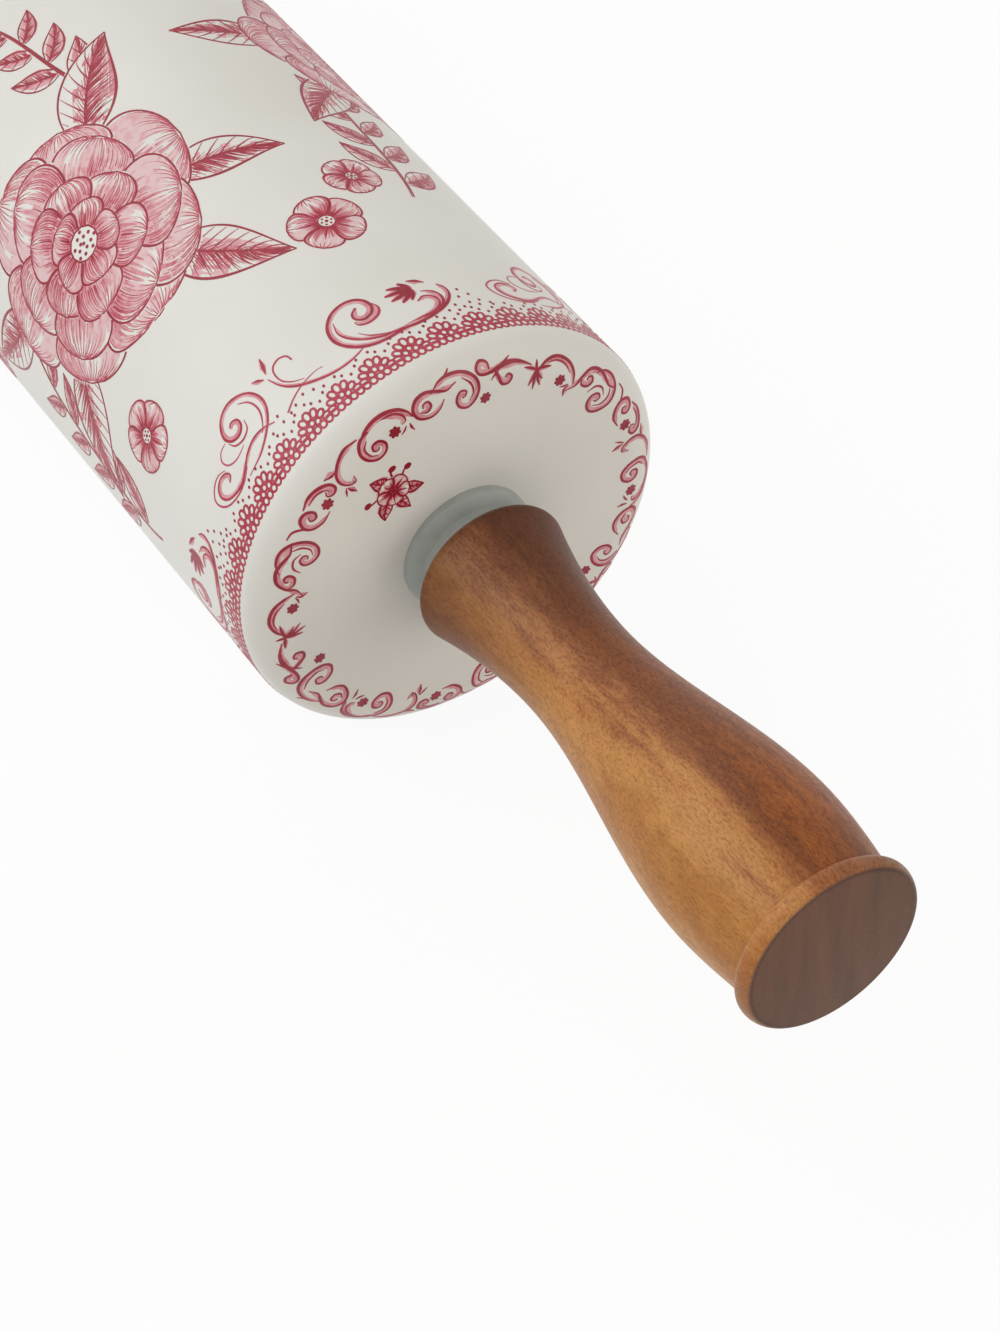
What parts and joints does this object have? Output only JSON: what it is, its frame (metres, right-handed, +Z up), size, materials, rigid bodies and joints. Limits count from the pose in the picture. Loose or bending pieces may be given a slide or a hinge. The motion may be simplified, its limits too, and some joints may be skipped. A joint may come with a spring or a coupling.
{
  "type": "rolling pin",
  "caption": "Rolling pin with a hollow glazed ceramic roller that turns freely on a steel rod between turned hardwood handles, for rolling out dough.",
  "frame": {"origin": "centre of the roller on its axis, which is the middle of the whole pin", "axes": "+X along the pin's axis towards the right handle, +Z up with the pin lying on its roller"},
  "size_m": [0.4482, 0.076, 0.076],
  "materials": {
    "glazed_ceramic": "glossy off-white glaze with a crimson print",
    "silicone": "satin blue-grey",
    "nylon": "satin natural white",
    "steel": "plain turned",
    "brass": "turned",
    "hardwood": "oiled, orange brown to dark brown along the grain"
  },
  "bodies": {
    "handles": {"axle_rod": "steel", "right_handle": "hardwood", "left_handle": "hardwood", "right_threaded_insert": "brass", "left_threaded_insert": "brass", "right_thrust_washer": "steel", "left_thrust_washer": "steel"},
    "roller": {"ceramic_roller": "glazed_ceramic", "right_grommet": "silicone", "left_grommet": "silicone", "right_bearing_sleeve": "nylon", "left_bearing_sleeve": "nylon"}
  },
  "joints": [
    {"name": "roller_spin", "type": "hinge", "parent": "handles", "child": "roller", "pos_m": [0, 0, 0], "axis": [1, 0, 0], "continuous": true}
  ]
}
